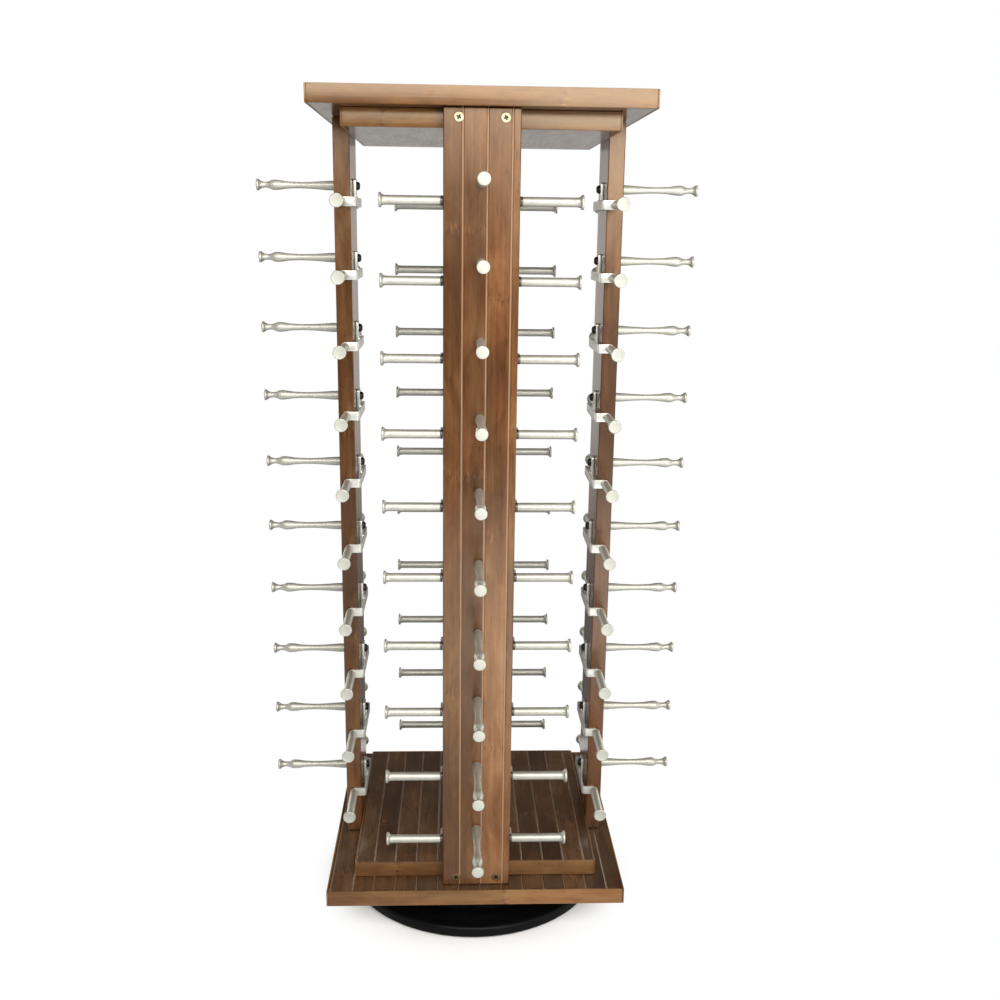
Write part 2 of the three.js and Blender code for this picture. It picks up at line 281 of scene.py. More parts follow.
def knuckles(s, strip, tone, grain, fibre, length):
    """Bamboo nodes along a strip: a random tone for each length between two
    nodes, then masks for the ring, its dark strokes and its light strokes."""
    wave = s.math("SUBTRACT", s.noise(s.stretch(grain, (95, 95, 20)), 1.0, 2.0, 0.5), 0.5)
    ragged = s.math("MULTIPLY", s.math("SUBTRACT", fibre, 0.5), 0.055)
    counted = s.math("ADD", s.math("DIVIDE", length, KNUCKLE), s.math("MULTIPLY", tone, 5.3))
    counted = s.math("ADD", counted, s.math("MULTIPLY", wave, 0.075))
    torn = s.math("ADD", counted, ragged)
    part = s.math("FLOOR", s.math("ADD", torn, 0.5))
    segment = chance(s, s.math("ADD", s.math("MULTIPLY", strip, 13.7), part))
    centred = s.math("SUBTRACT", s.math("FRACT", counted), 0.5)
    far = s.math("MULTIPLY", s.math("ABSOLUTE", centred), KNUCKLE)
    slant = s.node("Mapping")
    s.link(grain, slant.inputs["Vector"])
    slant.inputs["Rotation"].default_value = (0.0, math.radians(17), 0.0)
    slant.inputs["Scale"].default_value = (620, 620, 85)
    bent = s.noise(slant.outputs["Vector"], 1.0, 2.0, 0.5, 1.0)
    band = s.remap(far, 1.2 * MM, 9.0 * MM, 1.0, 0.0)
    ring = s.math("MULTIPLY", s.remap(far, 0.2 * MM, 1.7 * MM, 1.0, 0.0), s.remap(bent, 0.36, 0.56))
    dark = s.math("MULTIPLY", band, s.remap(bent, 0.52, 0.64))
    light = s.math("MULTIPLY", band, s.remap(bent, 0.47, 0.35))
    return segment, ring, dark, light


def slid(s, tone, across, deep, length):
    """Coordinates of the grain, slid by the strip's tone so that no two match."""
    slide = s.math("MULTIPLY", tone, 3.7)
    gather = s.node("CombineXYZ")
    s.link(s.math("ADD", across, slide), gather.inputs[0])
    s.link(s.math("ADD", deep, s.math("MULTIPLY", slide, 0.37)), gather.inputs[1])
    s.link(s.math("ADD", length, slide), gather.inputs[2])
    return gather.outputs[0]


def jointed(s, colour, tones, joint, streak, deep, face):
    """The strip joints laid over colour: a dark seam, stain with painted shadow gathered
    along both sides, and paler wood with a painted highlight in the groove on the grooved side."""
    front = s.remap(deep, face - 1.4 * MM, face - 1.1 * MM)
    # Paler wood in the groove: partly bare wood, partly a painted highlight on its walls.
    bare = s.math("MULTIPLY", s.remap(joint, 0.62 * MM, 0.82 * MM, 1.0, 0.0),
                  s.remap(streak, 0.25, 0.60, 0.72, 1.0))
    # Darker along both sides of the groove: partly stain, partly painted shadow at its shoulders.
    stain_and_shadow = s.math("MULTIPLY", s.remap(joint, 0.7 * MM, 1.0 * MM, 0.0, 1.0),
                      s.remap(joint, 1.1 * MM, 1.9 * MM, 1.0, 0.0))
    seam = s.remap(joint, 0.1 * MM, 0.3 * MM, 0.35, 0.0)
    colour = s.mix(s.math("MAXIMUM", s.math("MULTIPLY", stain_and_shadow, 0.38), seam), colour, STAIN_AND_SHADE)
    shown = s.math("MULTIPLY", s.math("MULTIPLY", bare, front), 0.92)
    return s.mix(shown, colour, GROOVE_TONES[tones])


def wood(name, tones, along, seed, shift=None, face=None):
    """Stained bamboo strips, lacquered. along is the axis of the grain in the
    piece's own coordinates; shift places the strip joints across it, or None
    for one unbroken strip; face is where the grooved side lies."""
    s = Shader(name)
    split = s.node("SeparateXYZ")
    s.link(s.node("TexCoord").outputs["Object"], split.inputs[0])
    x, y, z = split.outputs
    across, deep, length = {"z": (x, y, z), "y": (x, z, y), "x": (y, z, x)}[along]
    strip, joint = strips(s, across, shift, seed)
    tone = chance(s, strip)
    grain = slid(s, tone, across, deep, length)

    streak = s.noise(s.stretch(grain, (260, 260, 5)), 1.0, 4.0, 0.6)
    fibre = s.noise(s.stretch(grain, (1000, 1000, 20)), 1.0, 3.0, 0.6)
    patch = s.noise(s.stretch(grain, (62, 62, 20)), 1.0, 4.0, 0.6, 0.7)
    cloud = s.noise(s.stretch(grain, (6, 6, 6)), 1.0, 1.5, 0.5)
    tick = s.noise(s.stretch(grain, (520, 520, 52)), 1.0, 2.0, 0.5, 0.4)
    segment, ring, dark, light = knuckles(s, strip, tone, grain, fibre, length)

    mix = s.math("MULTIPLY", s.remap(streak, 0.28, 0.72), 0.14)
    mix = s.math("ADD", mix, s.math("MULTIPLY", s.remap(patch, 0.30, 0.70), 0.24))
    mix = s.math("ADD", mix, s.math("MULTIPLY", s.remap(cloud, 0.30, 0.70), 0.34))
    mix = s.math("ADD", mix, s.math("MULTIPLY", s.math("SUBTRACT", fibre, 0.5), 0.22))
    uneven = 0.5 if tones == "board" else 1.0
    mix = s.math("ADD", mix, s.math("MULTIPLY", s.math("SUBTRACT", tone, 0.35), 0.14 * uneven))
    mix = s.math("ADD", mix, s.math("MULTIPLY", s.math("SUBTRACT", segment, 0.30), 0.22 * uneven))
    ticks = s.math("MULTIPLY", s.remap(tick, 0.56, 0.70), s.remap(patch, 0.62, 0.42))
    mix = s.math("SUBTRACT", mix, s.math("MULTIPLY", ticks, 0.16))
    colour = s.ramp(mix, WOOD_TONES[tones])

    # warm and cool drift in the stain, then the nodes
    drift = s.noise(s.stretch(grain, (30, 30, 5), (0.3, 0.7, 0.1)), 1.0, 3.0, 0.5)
    red = s.mix(1.0, colour, (1.06, 0.93, 0.80), "MULTIPLY")
    tan = s.mix(1.0, colour, (0.96, 1.02, 1.04), "MULTIPLY")
    colour = s.mix(s.remap(drift, 0.38, 0.62), tan, red)
    colour = s.mix(s.math("MULTIPLY", light, 0.45), colour, s.mix(0.5, colour, AMBER))
    strokes = s.math("ADD", s.math("MULTIPLY", ring, 0.45), s.math("MULTIPLY", dark, 0.60), True)
    colour = s.mix(strokes, colour, s.mix(0.8, colour, STAIN_AND_SHADE))

    relief = s.math("ADD", s.math("MULTIPLY", streak, 0.5), s.math("MULTIPLY", fibre, 0.5))
    relief = s.math("SUBTRACT", relief, s.math("MULTIPLY", ring, 0.4))
    if joint is not None:
        colour = jointed(s, colour, tones, joint, streak, deep, face)
    gloss = s.math("ADD", s.math("MULTIPLY", fibre, 0.10), s.math("MULTIPLY", patch, 0.10))
    return s.set(Base_Color=colour, Roughness=s.math("ADD", gloss, 0.13),
                 Normal=s.bump(relief, 0.10 * MM, 0.5), Specular_IOR_Level=0.62, IOR=1.5,
                 Specular_Tint=LACQUER)


def turned_metal(name, tint, axis, roughness=0.50, metallic=0.82):
    """Satin anodised metal with fine lathe rings round the given axis."""
    s = Shader(name)
    place_at = s.node("TexCoord").outputs["Object"]
    scale = {"x": (900, 30, 30), "y": (30, 900, 30), "z": (30, 30, 900)}[axis]
    rings = s.noise(s.stretch(place_at, scale), 1.0, 2.0, 0.6)
    cloud = s.noise(place_at, 120.0, 3.0, 0.55)
    shade = s.math("ADD", s.math("MULTIPLY", rings, 0.4), s.math("MULTIPLY", cloud, 0.6))
    dull = tuple(0.90 * c for c in tint)
    colour = s.mix(s.remap(shade, 0.35, 0.65), dull, tint)
    rough = s.math("ADD", s.math("MULTIPLY", cloud, 0.12), roughness - 0.08)
    rough = s.math("ADD", rough, s.math("MULTIPLY", rings, 0.06))
    return s.set(Base_Color=colour, Metallic=metallic, Roughness=rough,
                 Normal=s.bump(rings, 0.002 * MM, 0.3))


def brushed_metal(name, tint, roughness=0.34, metallic=1.0):
    """Rolled or plated metal with a fine directional brush and stains."""
    s = Shader(name)
    place_at = s.node("TexCoord").outputs["Object"]
    brush = s.noise(s.stretch(place_at, (250, 250, 1800)), 1.0, 3.0, 0.6)
    cloud = s.noise(place_at, 90.0, 4.0, 0.6)
    dull = tuple(0.82 * c for c in tint)
    both = s.math("ADD", s.math("MULTIPLY", brush, 0.45), s.math("MULTIPLY", cloud, 0.55))
    colour = s.mix(s.remap(both, 0.34, 0.66), dull, tint)
    rough = s.math("ADD", s.math("MULTIPLY", both, 0.24), roughness - 0.12)
    return s.set(Base_Color=colour, Metallic=metallic, Roughness=rough,
                 Normal=s.bump(brush, 0.006 * MM, 0.4))


def black_oxide(name):
    """Blackened steel with rubbed, slightly browner patches."""
    s = Shader(name)
    place_at = s.node("TexCoord").outputs["Object"]
    rub = s.noise(place_at, 420.0, 4.0, 0.6)
    speck = s.noise(place_at, 2600.0, 2.0, 0.5)
    colour = s.ramp(s.math("ADD", s.math("MULTIPLY", rub, 0.7), s.math("MULTIPLY", speck, 0.3)),
                    [(0.30, (0.006, 0.006, 0.007)), (0.62, (0.014, 0.013, 0.013)),
                     (0.85, (0.040, 0.034, 0.030))])
    return s.set(Base_Color=colour, Metallic=0.6,
                 Roughness=s.math("ADD", s.math("MULTIPLY", rub, 0.22), 0.26),
                 Normal=s.bump(speck, 0.05 * MM, 0.4))


def moulded_black(name, gloss=0.20):
    """Black moulded plastic: faint spark-eroded grain, dust and fine scuffs."""
    s = Shader(name)
    place_at = s.node("TexCoord").outputs["Object"]
    grain = s.noise(place_at, 1500.0, 2.0, 0.5)
    dust = s.noise(place_at, 38.0, 5.0, 0.65)
    scuff = s.noise(s.stretch(place_at, (30, 30, 900)), 1.0, 3.0, 0.6)
    colour = s.ramp(s.math("ADD", s.math("MULTIPLY", dust, 0.7), s.math("MULTIPLY", scuff, 0.3)),
                    [(0.30, (0.0014, 0.0016, 0.0018)), (0.65, (0.0032, 0.0034, 0.0036)),
                     (0.85, (0.009, 0.009, 0.009))])
    rough = s.math("ADD", s.math("MULTIPLY", dust, 0.20), gloss)
    return s.set(Base_Color=colour, Roughness=s.math("ADD", rough, s.math("MULTIPLY", scuff, 0.08)),
                 Normal=s.bump(grain, 0.06 * MM, 0.35), Specular_IOR_Level=0.08, IOR=1.5)


def rubber(name):
    s = Shader(name)
    place_at = s.node("TexCoord").outputs["Object"]
    grain = s.noise(place_at, 900.0, 4.0, 0.6)
    dust = s.noise(place_at, 120.0, 4.0, 0.6)
    colour = s.ramp(dust, [(0.35, (0.012, 0.012, 0.012)), (0.75, (0.045, 0.043, 0.040))])
    return s.set(Base_Color=colour, Roughness=s.math("ADD", s.math("MULTIPLY", dust, 0.2), 0.68),
                 Normal=s.bump(grain, 0.12 * MM, 0.6))


# ------------------------------------------------------------- mesh helpers
def new_object(name, data):
    made = bpy.data.objects.new(name, data)
    bpy.context.scene.collection.objects.link(made)
    return made


def mesh_object(name, bm, materials, smooth_angle=35):
    bmesh.ops.recalc_face_normals(bm, faces=bm.faces)
    mesh = bpy.data.meshes.new(name)
    bm.to_mesh(mesh)
    bm.free()
    for material in materials:
        mesh.materials.append(material)
    mesh.shade_smooth()
    mesh.set_sharp_from_angle(angle=math.radians(smooth_angle))
    return new_object(name, mesh)


def skin(bm, rows):
    """Faces between neighbouring rows of vertices, each a closed ring, and the
    two ends closed."""
    for a, b in zip(rows, rows[1:]):
        for i in range(len(a)):
            j = (i + 1) % len(a)
            bm.faces.new((a[i], a[j], b[j], b[i]))
    bm.faces.new(rows[0])
    bm.faces.new(rows[-1])


def turned(bm, outline, segments, axis):
    """Turns [distance along the axis, radius] pairs round the x, y or z axis.
    Ends with no radius close on the axis."""
    rows = []
    for along, radius in outline:
        if radius <= 0:
            rows.append([bm.verts.new(on_axis(axis, along, 0, 0))])
            continue
        row = []
        for i in range(segments):
            angle = 2 * math.pi * i / segments
            row.append(bm.verts.new(on_axis(axis, along, radius * math.cos(angle),
                                            radius * math.sin(angle))))
        rows.append(row)
    for low, high in zip(rows, rows[1:]):
        for i in range(segments):
            j = (i + 1) % segments
            corners = [low[i % len(low)], low[j % len(low)], high[j % len(high)], high[i % len(high)]]
            bm.faces.new(list(dict.fromkeys(corners)))


def on_axis(axis, along, a, b):
    return {"x": (along, a, b), "y": (a, along, b), "z": (a, b, along)}[axis]


def rounded(points, radius, steps):
    """A 2-D polyline with its corners rounded off."""
    out = [points[0]]
    for before, corner, after in zip(points, points[1:], points[2:]):
        c = Vector(corner)
        a = Vector(before) - c
        b = Vector(after) - c
        reach = min(radius, a.length * 0.45, b.length * 0.45)
        start = c + a.normalized() * reach
        end = c + b.normalized() * reach
        for k in range(steps + 1):
            t = k / steps
            spot = start * (1 - t) ** 2 + c * 2 * t * (1 - t) + end * t ** 2
            out.append((spot.x, spot.y))
    out.append(points[-1])
    return out


def bevel_edges(bm, width, angle, segments):
    sharp = [e for e in bm.edges if len(e.link_faces) == 2
             and e.calc_face_angle(0) > math.radians(angle)]
    bmesh.ops.bevel(bm, geom=sharp, offset=width, segments=segments, profile=0.6,
                    affect="EDGES", clamp_overlap=True)


def box_into(bm, low, high, material=0):
    made = bmesh.ops.create_cube(bm, size=1.0)
    size = Vector(high) - Vector(low)
    middle = (Vector(high) + Vector(low)) / 2
    for v in made["verts"]:
        v.co = Vector((v.co.x * size.x, v.co.y * size.y, v.co.z * size.z)) + middle
    for f in {f for v in made["verts"] for f in v.link_faces}:
        f.material_index = material
    return made["verts"]


def cut_away(piece, knife, smooth_angle, **settings):
    """The mesh of piece with knife's shape cut out of it. Both objects go."""
    boolean = piece.modifiers.new("cut", "BOOLEAN")
    boolean.operation = "DIFFERENCE"
    boolean.solver = "EXACT"
    boolean.object = knife
    for key, value in settings.items():
        setattr(boolean, key, value)
    graph = bpy.context.evaluated_depsgraph_get()
    mesh = bpy.data.meshes.new_from_object(piece.evaluated_get(graph))
    mesh.set_sharp_from_angle(angle=math.radians(smooth_angle))
    bpy.data.objects.remove(piece)
    bpy.data.objects.remove(knife)
    return mesh


def place(piece, body, turn=0.0, at=(0, 0, 0), spin=0.0, spin_axis="Z"):
    """Spins a piece about its own axis, moves it to at on the +Y side, turns it
    to its own side of the stand and ties it to body. Angles in degrees."""
    piece.matrix_world = (Matrix.Rotation(math.radians(turn), 4, "Z") @ Matrix.Translation(at)
                          @ Matrix.Rotation(math.radians(spin), 4, spin_axis))
    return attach(piece, body)


def strip_joints(half, shift):
    """Where the strip joints fall across a board, leaving out its very edges."""
    reach = int(half / STRIP) + 2
    spots = [shift + k * STRIP for k in range(-reach, reach + 1)]
    return [x for x in spots if abs(x) < half - 2 * MM]


# ------------------------------------------------------------------- timber
def grooved_outline(half, low, high, joints):
    """Board cross-section, with a round-shouldered groove at each joint."""
    outline = [(-half, high - CHAMFER), (-half, low + CHAMFER), (-half + CHAMFER, low),
               (half - CHAMFER, low), (half, low + CHAMFER), (half, high - CHAMFER),
               (half - CHAMFER, high)]
    groove = [(0.625 * GROOVE_W, 0), (0.4 * GROOVE_W, GROOVE_LIP), (0.11 * GROOVE_W, GROOVE_D)]
    for x in sorted(joints, reverse=True):
        outline += [(x + reach, high - depth) for reach, depth in groove]
        outline += [(x - reach, high - depth) for reach, depth in reversed(groove)]
    outline.append((-half + CHAMFER, high))
    return outline


def extruded(bm, outline, start, end, axis, edge=CHAMFER):
    """A closed 2-D outline run from start to end along the y or z axis, with
    both ends chamfered."""
    middle = (min(b for a, b in outline) + max(b for a, b in outline)) / 2

    def row(along, inset):
        verts = []
        for a, b in outline:
            x = a - math.copysign(min(inset, abs(a)), a)
            deep = b - math.copysign(inset, b - middle)
            verts.append(bm.verts.new((x, deep, along) if axis == "z" else (x, along, deep)))
        return verts

    skin(bm, [row(start, edge), row(start + edge, 0), row(end - edge, 0), row(end, edge)])


def sink_cutter(face, low, high):
    """The shape of a column's four countersunk holes. low and high are the
    heights of its ends."""
    outline = [(face - HOLE_D, 0), (face - HOLE_D, HOLE_R), (face - SINK_D, HOLE_R),
               (face - 0.7 * MM, SINK_R), (face - 0.2 * MM, SINK_R + 0.1 * MM),
               (face + 1 * MM, SINK_R + 0.5 * MM), (face + 1 * MM, 0)]
    bm = bmesh.new()
    for z in (low + SCREW_END, high - SCREW_END):
        for x in (-SCREW_X, SCREW_X):
            before = set(bm.verts)
            turned(bm, outline, 36, "y")
            for v in set(bm.verts) - before:
                v.co += Vector((x, 0, z))
    return mesh_object("sink_cutter", bm, [])


def column_pieces():
    low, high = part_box("column_back")
    half = high.x
    bm = bmesh.new()
    outline = grooved_outline(half, low.y, high.y, strip_joints(half, COLUMN_SHIFT))
    extruded(bm, outline, low.z, high.z, "z")
    board = mesh_object("column_shape", bm, [])
    carved = cut_away(board, sink_cutter(high.y, low.z, high.z), 6)
    for side, turn in SIDES.items():
        mesh = carved.copy()
        mesh.materials.clear()
        grown = wood(f"column_wood_{side}", "column", "z", COLUMN_SEEDS[side], COLUMN_SHIFT, high.y)
        mesh.materials.append(grown)
        piece = place(new_object(f"board_column_{side}", mesh), "stand", turn)
        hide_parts(f"column_{side}")


def flat_board(node, grooved, seed):
    """Strip-wood panel with a solid edge band butted round its four edges."""
    low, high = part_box(node)
    half = high.x
    inner = half - LIPPING
    panel_wood = wood(f"panel_wood_{node}", "board", "y", seed, BOARD_SHIFT, high.z)
    joints = strip_joints(inner, BOARD_SHIFT) if grooved else []
    bm = bmesh.new()
    extruded(bm, grooved_outline(inner, low.z, high.z, joints), -inner, inner, "y", edge=0.05 * MM)
    panel = mesh_object(f"panel_{node}", bm, [panel_wood], 6)
    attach(panel, "stand")
    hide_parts(node)

    # Painted shade: the base boards' edge bands get the darker copy of the edge tones.
    tones = "base_edge" if "base" in node else "edge"
    lip_wood = wood(f"lipping_wood_{node}", tones, "x", seed + 5.7)
    for number, (turn, reach) in enumerate(((180, inner), (90, half), (0, inner), (-90, half))):
        lip = bmesh.new()
        box_into(lip, (-reach + LIPPING_GAP, inner, low.z), (reach - LIPPING_GAP, half, high.z))
        bevel_edges(lip, 0.45 * MM, 40, 3)
        piece = mesh_object(f"lipping_{node}_{number + 1}", lip, [lip_wood])
        place(piece, "stand", turn)


def screw_shape(materials):
    """Countersunk screw with a deep cross recess, its head's face at zero."""
    bm = bmesh.new()
    rim = SCREW_HEAD
    turned(bm, [(0, 0), (0, rim * 0.80), (-0.06 * MM, rim * 0.93), (-0.22 * MM, rim),
                (-0.5 * MM, rim), (-2.8 * MM, SCREW_R), (-9 * MM, SCREW_R), (-10 * MM, 0)], 40, "y")
    head = mesh_object("screw_head", bm, materials)
    cutter = bmesh.new()
    for angle in (0, 90):
        verts = box_into(cutter, (-2.1 * MM, -1.9 * MM, -0.75 * MM), (2.1 * MM, 1 * MM, 0.75 * MM), 1)
        turn = Matrix.Rotation(math.radians(angle), 3, "Y")
        bmesh.ops.rotate(cutter, verts=verts, cent=(0, 0, 0), matrix=turn)
    # The recess walls take the second material, a painted shade.
    knife = mesh_object("recess_cutter", cutter, materials)
    return cut_away(head, knife, 35, use_self=True, material_mode="TRANSFER")


def screws():
    """Sixteen wood screws in the ends of the columns, no two turned alike."""
    low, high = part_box("column_back")
    face = high.y - SCREW_SUNK
    # Painted shade: the brass screws' cross recesses take the near-black steel finish, standing in for the
    # shade inside them.
    recess = black_oxide("screw_recess_painted_shade")
    bright = screw_shape([turned_metal("brass_screw", BRASS, "y"), recess])
    # the screws at the columns' lower ends get the darker brass
    darker_lower = screw_shape([turned_metal("darker_lower_brass_screw", DARKER_LOWER_BRASS, "y"), recess])
    count = 0
    for side, turn in SIDES.items():
        for end, z, mesh in (("low", low.z + SCREW_END, darker_lower), ("high", high.z - SCREW_END, bright)):
            for hand, x in (("a", -SCREW_X), ("b", SCREW_X)):
                count += 1
                piece = new_object(f"screw_{side}_{end}_{hand}", mesh)
                place(piece, "stand", turn, (x, face, z), SCREW_STEP * count, "Y")


# ------------------------------------------------------------------ hangers
def smooth_profile(points, steps=4):
    """Curve through [distance, radius] points, level at each high and low."""
    slopes = [0.0]
    for (a, ra), (b, rb), (c, rc) in zip(points, points[1:], points[2:]):
        before = (rb - ra) / (b - a)
        after = (rc - rb) / (c - b)
        slopes.append(0.0 if before * after <= 0 else 2 * before * after / (before + after))
    slopes.append(0.0)
    out = [points[0]]
    for i in range(len(points) - 1):
        (a, ra), (b, rb) = points[i], points[i + 1]
        span = b - a
        for k in range(1, steps + 1):
            t = k / steps
            lift = (2 * t ** 3 - 3 * t ** 2 + 1) * ra + (3 * t ** 2 - 2 * t ** 3) * rb
            bend = (t ** 3 - 2 * t ** 2 + t) * slopes[i] + (t ** 3 - t ** 2) * slopes[i + 1]
            out.append((a + t * span, lift + bend * span))
    return out


def faced_end(piece, axis, cut):
    """Gives the flat face beyond cut the piece's second material."""
    for polygon in piece.data.polygons:
        if polygon.center[axis] > cut and abs(polygon.normal[axis]) > 0.9:
            polygon.material_index = 1
    return piece


def nose_peg_shape(metals, root, tip):
    """Turned spool: flared disc, neck, bulge, long waist and a straight root. Its
    outline is in millimetres: back from the tip, and radius."""
    disc = [(0, 0), (0, 4.5), (0.15, 4.95), (0.5, 5.2), (1.5, 5.2), (1.9, 5.0)]
    body = smooth_profile([(1.9, 5.0), (3.2, 4.05), (5.2, 3.05), (8.5, 2.55), (11.5, 3.15), (14.0, 4.2),
                           (16.5, 4.6), (20.5, 4.35), (28.0, 3.3), (40.0, 2.85), (52.0, 3.25), (62.0, 3.95),
                           (68.0, 4.3)])
    end = (tip - root) / MM
    foot = [(end - 1.0, 4.3), (end - 0.3, 4.2), (end, 3.9), (end, 0)]
    bm = bmesh.new()
    turned(bm, [(tip - back * MM, radius * MM) for back, radius in disc + body[1:] + foot], 44, "y")
    return faced_end(mesh_object("nose_peg_shape", bm, metals, 50), 1, tip - 1 * MM)


def side_peg_shape(metals, root, tip):
    """Plain round peg with a dished, flared disc at its end, drawn along +X. Its
    outline is in millimetres: back from the tip, and radius."""
    disc = [(0.45, 0), (0.45, 2.6), (0.30, 4.2), (0.05, 5.1), (0, 5.5), (0.25, 5.95), (0.7, 6.1),
            (1.6, 6.1), (2.0, 5.95)]
    flare = [(2.3, 5.3), (2.9, 4.6), (3.9, 4.15), (5.5, 3.95), (8.0, 3.9)]
    end = (tip - root) / MM
    foot = [(end - 0.8, 3.9), (end - 0.2, 3.75), (end, 3.5), (end, 0)]
    bm = bmesh.new()
    turned(bm, [(tip - back * MM, radius * MM) for back, radius in disc + flare + foot], 40, "x")
    return faced_end(mesh_object("side_peg_shape", bm, metals, 50), 0, tip - 1 * MM)


def strap_shape(metals, back, ear_x, ear_mid):
    """One bent strip behind the column: two sharp bends and two round-ended
    ears. back is its far face, ear_x an ear's inner face, ear_mid the y that
    the ear's round end is centred on. The side pegs' height is zero."""
    mid = STRAP_T / 2
    half = STRAP_H / 2
    corner = [(ear_x + mid, ear_mid), (ear_x + mid, back + mid), (0, back + mid)]
    arm = [(x, y, half) for x, y in rounded(corner, 1.5 * MM, 5)]
    end = []
    for k in range(1, 10):
        angle = math.radians(9.4 * k)
        end.append((ear_x + mid, ear_mid + SIDE_R * math.sin(angle), half * math.cos(angle)))
    path = end[::-1] + arm
    path += [(-x, y, tall) for x, y, tall in path[-2::-1]]
    bm = bmesh.new()
    rows = []
    for i, (x, y, tall) in enumerate(path):
        before = Vector(path[max(i - 1, 0)][:2])
        after = Vector(path[min(i + 1, len(path) - 1)][:2])
        way = (after - before).normalized()
        side = Vector((-way.y, way.x))
        row = []
        for across, z in ((-mid, -tall), (mid, -tall), (mid, tall), (-mid, tall)):
            spot = Vector((x, y)) + side * across
            row.append(bm.verts.new((spot.x, spot.y, z)))
        rows.append(row)
    skin(bm, rows)
    bmesh.ops.recalc_face_normals(bm, faces=bm.faces)
    bevel_edges(bm, 0.3 * MM, 50, 2)
    strap = mesh_object("strap_shape", bm, metals, 40)
    # The ears' round ends take the second material, a painted shade for the recess beside the column.
    for polygon in strap.data.polygons:
        if polygon.center.y > ear_mid and abs(polygon.normal.x) < 0.5:
            polygon.material_index = 1
    return strap


def tab_shape(metal, front):
    """Upright plate against the column, with two rounded upper corners."""
    half = TAB_W / 2
    radius = 2 * MM
    bottom = -SIDE_DROP - STRAP_H / 2
    outline = [(-half, bottom)]
    for centre, start in ((-half + radius, 180), (half - radius, 90)):
        for k in range(6):
            angle = math.radians(start - 18 * k)
            outline.append((centre + radius * math.cos(angle), TAB_TOP - radius + radius * math.sin(angle)))
    outline.append((half, bottom))
    bm = bmesh.new()
    face = bm.faces.new([bm.verts.new((x, front, z)) for x, z in outline])
    raised = bmesh.ops.extrude_face_region(bm, geom=[face])
    for item in raised["geom"]:
        if isinstance(item, bmesh.types.BMVert):
            item.co.y = front - TAB_T
    bmesh.ops.recalc_face_normals(bm, faces=bm.faces)
    bevel_edges(bm, 0.3 * MM, 50, 2)
    return mesh_object("tab_shape", bm, [metal], 40)


def weld_shape(metal, seat):
    """Uneven weld bead along the strap's upper edge, where the plate meets it."""
    bm = bmesh.new()
    rows = []
    steps = 26
    sides = 8
    half = 5.2 * MM
    y = seat - 0.1 * MM
    z = -SIDE_DROP + STRAP_H / 2 + 0.1 * MM
    for i in range(steps + 1):
        t = i / steps
        size = (0.85 + 0.22 * math.sin(17 * t + 1) + 0.12 * math.sin(41 * t)) * MM
        size *= 0.35 if i in (0, steps) else 1.0
        row = []
        for k in range(sides):
            angle = 2 * math.pi * k / sides
            spot = (half * (2 * t - 1), y + size * math.cos(angle), z + size * math.sin(angle))
            row.append(bm.verts.new(spot))
        rows.append(row)
    skin(bm, rows)
    return mesh_object("weld_shape", bm, [metal], 60)


def button_head_shape(metal, seat):
    """Domed head with a hexagonal socket, sitting on the plate at seat. Its
    outline is in millimetres: y from the plate, and radius."""
    dome = [(-3.3, 1.95), (-3.15, 2.5), (-2.75, 3.05), (-2.1, 3.5), (-1.3, 3.8), (-0.5, 3.9), (0.0, 3.85)]
    bm = bmesh.new()
    count = 36

    def ring(y, reach, hexagonal=False):
        row = []
        for i in range(count):
            angle = 2 * math.pi * i / count
            radius = reach
            if hexagonal:
                radius = reach * math.cos(math.pi / 6) / math.cos(angle % (math.pi / 3) - math.pi / 6)
            row.append(bm.verts.new((radius * math.cos(angle), seat + y * MM, radius * math.sin(angle))))
        return row

    rows = [ring(-1.5, 1.35 * MM, True), ring(-3.25, 1.45 * MM, True)]
    rows += [ring(y, radius * MM) for y, radius in dome]
    skin(bm, rows)
    return mesh_object("button_head_shape", bm, [metal], 35)


def stud_shape(metal, start, end):
    """Threaded stud that clamps peg and strap through the column."""
    bm = bmesh.new()
    outline = [(start, 0), (start, STUD_R)]
    along = start + THREAD_PITCH
    while along < end - THREAD_PITCH:
        outline += [(along, STUD_R), (along + THREAD_PITCH / 2, STUD_R - THREAD_D)]
        along += THREAD_PITCH
    outline += [(end, STUD_R), (end, 0)]
    turned(bm, outline, 16, "y")
    return mesh_object("stud_shape", bm, [metal], 60)


def hanger_shapes():
    """One of each piece of a hanger, drawn for the column on the +Y side. Height
    zero is the nose peg's axis, or the side pegs' axis for strap and side peg."""
    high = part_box("hanger_back_01")[1]
    column_low, column_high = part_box("column_back")
    front = column_low.y - GAP
    seat = front - TAB_T
    ear_x = column_high.x + GAP
    column_mid = (column_low.y + column_high.y) / 2
    spun_y = turned_metal("satin_aluminium_y", SATIN, "y")
    spun_x = turned_metal("satin_aluminium_x", SATIN, "x")
    faced = turned_metal("faced_aluminium", FACED, "z", 0.58, 0.35)
    nickel = brushed_metal("nickel_strap", NICKEL, 0.36, 0.6)
    # near-black painted shade on the ears' round ends
    ear_end_shade = brushed_metal("ear_end_painted_shade", EAR_END_SHADE, 0.40)
    oxide = black_oxide("black_oxide_bolt")
    zinc = brushed_metal("zinc_stud", ZINC)
    return {
        "nose_peg": nose_peg_shape([spun_y, faced], column_high.y + GAP, high.y),
        "side_peg": side_peg_shape([spun_x, faced], ear_x + STRAP_T, high.x),
        "strap": strap_shape([nickel, ear_end_shade], seat - STRAP_T, ear_x, column_mid),
        "tab": tab_shape(nickel, front),
        "weld": weld_shape(nickel, seat),
        "button_head": button_head_shape(oxide, seat),
        "stud": stud_shape(zinc, seat + 0.5 * MM, column_high.y + 1.3 * MM),
    }


